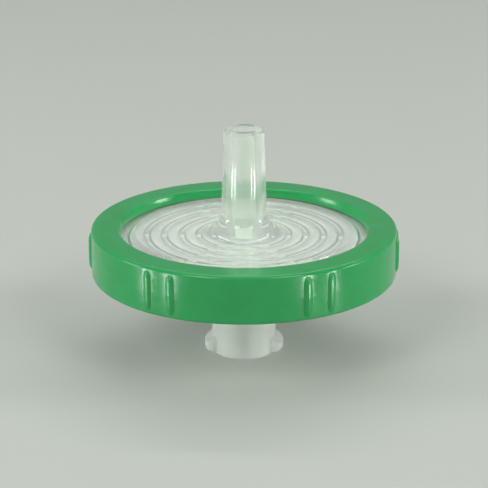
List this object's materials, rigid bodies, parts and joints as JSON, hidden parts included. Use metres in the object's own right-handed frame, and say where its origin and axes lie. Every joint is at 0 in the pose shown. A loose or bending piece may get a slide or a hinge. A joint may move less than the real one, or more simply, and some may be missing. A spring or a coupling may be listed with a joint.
{
  "type": "syringe filter",
  "caption": "Round syringe filter: a thin disc in a moulded ring, with a female luer lock inlet under it and a tapered male luer outlet on top.",
  "frame": {"origin": "centre of the inlet's end face, on which the filter stands", "axes": "+Z along the flow from inlet to outlet, the axis of the whole filter; +X through the middle of one lug, towards the gap between two grip ribs of one pair"},
  "size_m": [0.0304, 0.03, 0.0227],
  "materials": {
    "natural_plastic": "natural polypropylene, milky and see-through, smooth from the mould",
    "green_plastic": "bright green polypropylene, glossy from the mould",
    "membrane": "white cellulose membrane, matt and finely porous"
  },
  "bodies": {
    "root": {"inlet_shell": "natural_plastic", "membrane": "membrane", "outlet_shell": "natural_plastic", "overmould_ring": "green_plastic"}
  },
  "joints": []
}
